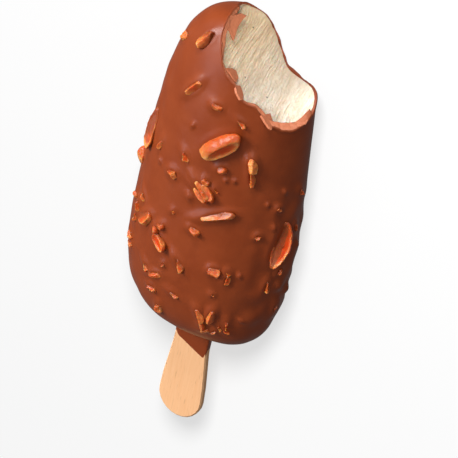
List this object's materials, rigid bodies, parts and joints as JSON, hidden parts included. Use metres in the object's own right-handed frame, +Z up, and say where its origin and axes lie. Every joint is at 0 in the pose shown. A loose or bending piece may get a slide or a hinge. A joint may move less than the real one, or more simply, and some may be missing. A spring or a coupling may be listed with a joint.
{
  "type": "ice cream bar",
  "caption": "Almond and milk chocolate ice cream bar on a wooden stick, bitten at one corner and lying on its back.",
  "frame": {"origin": "middle of the flat spot on the bar's back that it rests on, under the middle of the bar's length before the bite", "axes": "+Y along the bar from the stick to the bitten end, +Z up out of the shown front, +X across the bar towards the bitten corner"},
  "size_m": [0.0469, 0.1234, 0.0279],
  "materials": {
    "milk_chocolate": "satin",
    "ice_cream": "matte",
    "birch_wood": "matte",
    "roasted_almond": "satin"
  },
  "bodies": {
    "root": {"chocolate_coat": "milk_chocolate", "ice_cream_core": "ice_cream", "stick": "birch_wood", "almond_half": "roasted_almond", "almond_crescent": "roasted_almond", "almond_sliver": "roasted_almond", "almond_edge": "roasted_almond", "almond_upright": "roasted_almond", "almond_chunk": "roasted_almond", "almond_tip": "roasted_almond", "almond_strip": "roasted_almond", "almond_block": "roasted_almond", "almond_rim": "roasted_almond", "almond_wedge": "roasted_almond", "almond_heel": "roasted_almond"}
  },
  "joints": []
}
